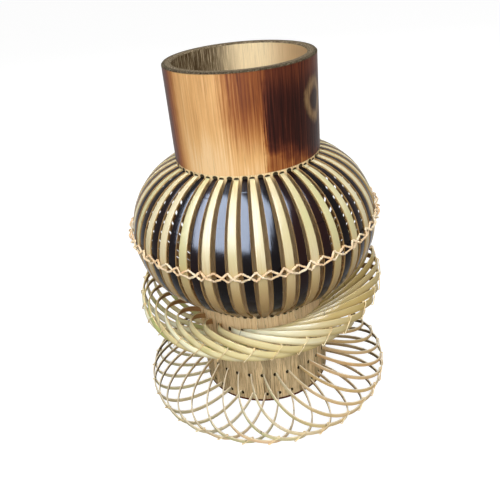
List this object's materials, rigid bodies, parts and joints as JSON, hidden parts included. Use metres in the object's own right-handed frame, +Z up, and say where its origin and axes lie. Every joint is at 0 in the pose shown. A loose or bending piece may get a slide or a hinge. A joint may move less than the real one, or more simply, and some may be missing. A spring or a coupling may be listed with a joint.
{
  "type": "bamboo vase",
  "caption": "Bamboo culm vase with a belly of bowed strips, a looped collar and an open looped skirt, tied with twine; holds flowers or a liner tube.",
  "frame": {"origin": "centre of the foot on the surface that the vase stands on", "axes": "+Z up along the culm's axis and out of the mouth; -Y faces the picture's camera"},
  "size_m": [0.2116, 0.2116, 0.275],
  "materials": {
    "culm": "polished neck, raw shaved wall below",
    "base": "dark stain",
    "natural_strip": "natural satin skin",
    "dark_strip": "dark gloss",
    "hoop": "raw",
    "collar_strip": "natural satin skin",
    "skirt_strip": "natural satin skin",
    "twine": "matte waxed cord"
  },
  "bodies": {
    "root": {"culm": "culm", "base_disc": "base", "belly_hoop": "hoop", "belly_natural_strips_1": "natural_strip", "belly_natural_strips_2": "natural_strip", "belly_natural_strips_3": "natural_strip", "belly_natural_strips_4": "natural_strip", "belly_natural_strips_5": "natural_strip", "belly_natural_strips_6": "natural_strip", "belly_natural_strips_7": "natural_strip", "belly_natural_strips_8": "natural_strip", "belly_dark_strips_1": "dark_strip", "belly_dark_strips_2": "dark_strip", "belly_dark_strips_3": "dark_strip", "belly_dark_strips_4": "dark_strip", "belly_dark_strips_5": "dark_strip", "belly_dark_strips_6": "dark_strip", "belly_dark_strips_7": "dark_strip", "belly_dark_strips_8": "dark_strip", "collar_strips_1": "collar_strip", "collar_strips_2": "collar_strip", "collar_strips_3": "collar_strip", "collar_strips_4": "collar_strip", "collar_strips_5": "collar_strip", "collar_strips_6": "collar_strip", "collar_strips_7": "collar_strip", "collar_strips_8": "collar_strip", "skirt_strips_1": "skirt_strip", "skirt_strips_2": "skirt_strip", "skirt_strips_3": "skirt_strip", "skirt_strips_4": "skirt_strip", "skirt_strips_5": "skirt_strip", "skirt_strips_6": "skirt_strip", "skirt_strips_7": "skirt_strip", "skirt_strips_8": "skirt_strip", "belly_twine_outer": "twine", "belly_twine_inner": "twine", "collar_rim_twine": "twine", "skirt_rim_twine": "twine"}
  },
  "joints": []
}
